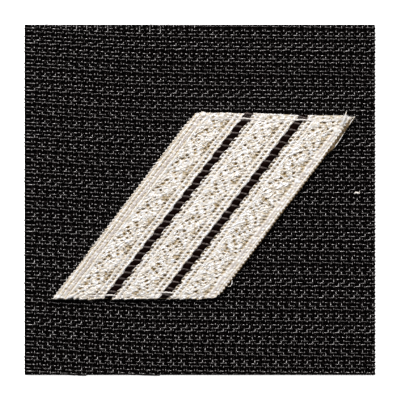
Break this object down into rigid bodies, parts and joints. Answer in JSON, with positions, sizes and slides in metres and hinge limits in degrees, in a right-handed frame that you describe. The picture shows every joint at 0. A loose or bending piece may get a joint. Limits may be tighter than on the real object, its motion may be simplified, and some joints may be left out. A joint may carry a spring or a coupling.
{
  "type": "rank patch",
  "caption": "Square black cloth patch with a slanting striped braid in silver and black thread sewn across its front.",
  "frame": {"origin": "centre of the flat back face of the cloth square", "axes": "+Z out of the front face with the braid, +Y to the top edge of the patch, +X to the right seen from the front"},
  "size_m": [0.05, 0.05, 0.0019],
  "materials": {
    "cloth": "coarse ribbed black weave, glossy yarn",
    "silver_braid": "woven silver-white thread with a soft metallic gloss",
    "black_braid": "smooth black thread",
    "sewing_thread": "twisted white sewing thread"
  },
  "bodies": {
    "root": {"backing_cloth": "cloth", "stripe_left": "silver_braid", "band_left": "black_braid", "stripe_middle": "silver_braid", "band_right": "black_braid", "stripe_right": "silver_braid"}
  },
  "joints": []
}
